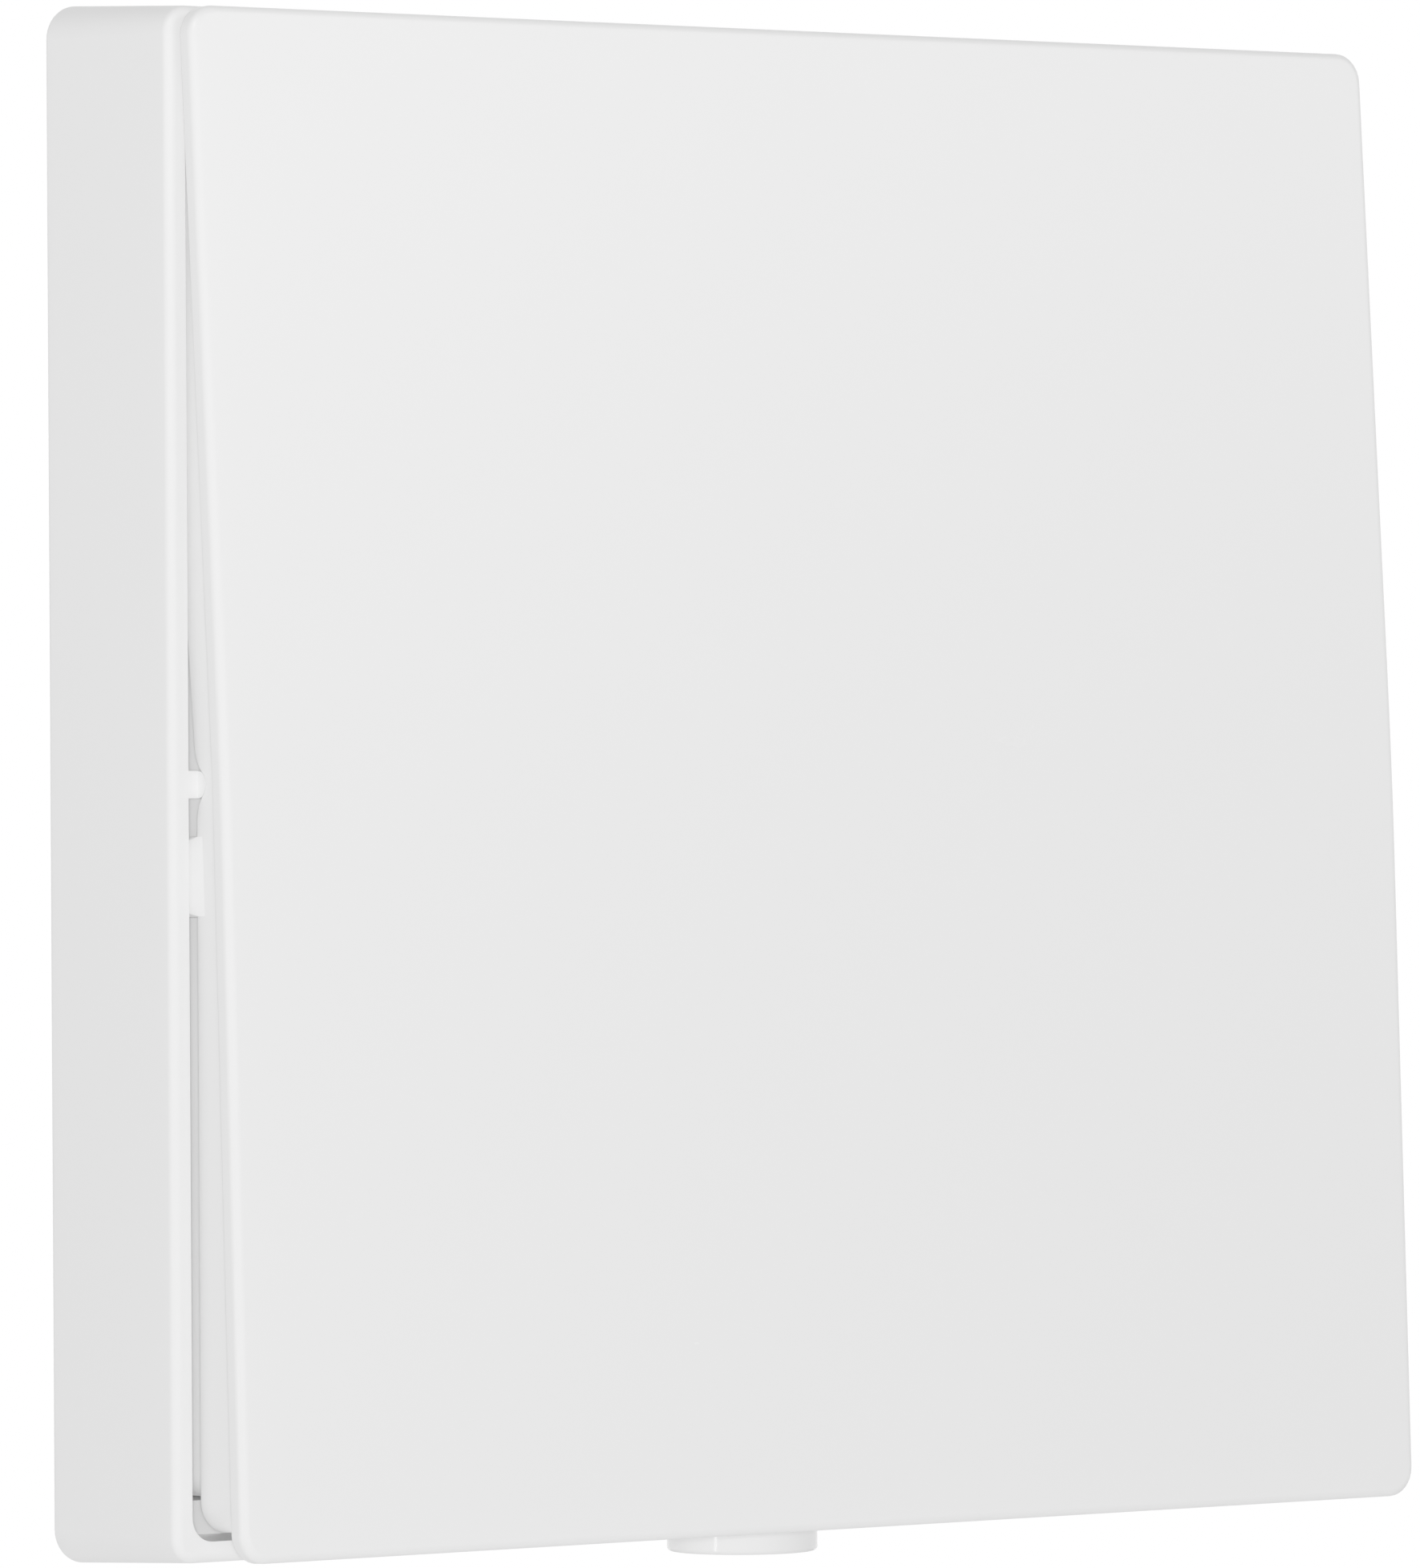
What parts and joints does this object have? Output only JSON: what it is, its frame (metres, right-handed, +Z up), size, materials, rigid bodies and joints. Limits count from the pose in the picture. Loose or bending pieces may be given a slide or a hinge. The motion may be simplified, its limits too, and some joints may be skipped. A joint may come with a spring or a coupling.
{
  "type": "smart light switch",
  "caption": "Square surface-mounted wireless light switch: shallow drafted tray, full-face tilting rocker on side pivots, round push-button in the bottom edge.",
  "frame": {"origin": "middle of the flat back of the tray, where it meets the wall", "axes": "+X to the right seen from the front, +Y into the wall, +Z up; the front faces -Y"},
  "size_m": [0.08, 0.0159, 0.081],
  "materials": {
    "housing_plastic": "satin",
    "rocker_plastic": "soft gloss",
    "cover_plastic": "matt",
    "button_plastic": "satin",
    "zinc_steel": "zinc plated",
    "board_laminate": "solder mask",
    "holder_plastic": "matt",
    "nickel_steel": "satin",
    "spring_bronze": "satin",
    "dark_plastic": "matt",
    "plunger_plastic": "satin",
    "spring_steel": "bright",
    "ceramic": "matt",
    "led_resin": "clear",
    "silicone": "matt"
  },
  "bodies": {
    "tray": {"base_housing": "housing_plastic", "module_cover": "cover_plastic", "cover_screws": "zinc_steel", "circuit_board": "board_laminate", "battery_holder": "holder_plastic", "coin_cell": "nickel_steel", "battery_contact_negative": "spring_bronze", "battery_clip_positive": "spring_bronze", "rocker_switch_body": "dark_plastic", "learn_switch_body": "dark_plastic", "radio_board": "board_laminate", "radio_shield": "nickel_steel", "chip_antenna": "ceramic", "controller_chip": "dark_plastic", "clock_crystal": "nickel_steel", "status_led": "led_resin", "chip_capacitors": "ceramic", "chip_resistors": "dark_plastic", "stop_pads": "silicone", "return_spring_left": "spring_steel", "return_spring_right": "spring_steel"},
    "rocker": {"rocker": "rocker_plastic"},
    "rocker_plunger": {"rocker_switch_plunger": "plunger_plastic"},
    "learn": {"learn_button": "button_plastic"},
    "learn_plunger": {"learn_switch_plunger": "plunger_plastic"}
  },
  "joints": [
    {"name": "rocker_tilt", "type": "hinge", "parent": "tray", "child": "rocker", "pos_m": [0, -0.0102, 0], "axis": [1, 0, 0], "range_deg": [0, 5.62], "stiffness_Nm_per_rad": 0.32, "springref_deg": -5.61, "deforming": ["return_spring_left", "return_spring_right"]},
    {"name": "rocker_plunger_slide", "type": "slide", "parent": "tray", "child": "rocker_plunger", "axis": [0, 1, 0], "range_m": [0, 0.0008]},
    {"name": "learn_press", "type": "slide", "parent": "tray", "child": "learn", "axis": [0, 0, 1], "range_m": [0, 0.0005], "stiffness_N_per_m": 2000, "springref_m": -0.0005},
    {"name": "learn_plunger_slide", "type": "slide", "parent": "tray", "child": "learn_plunger", "axis": [0, 0, 1], "range_m": [0, 0.0005]}
  ],
  "couplings": [
    {"joint": "rocker_plunger_slide", "follows": "rocker_tilt", "m_per_rad": 0.008},
    {"joint": "learn_plunger_slide", "follows": "learn_press", "ratio": 1}
  ]
}
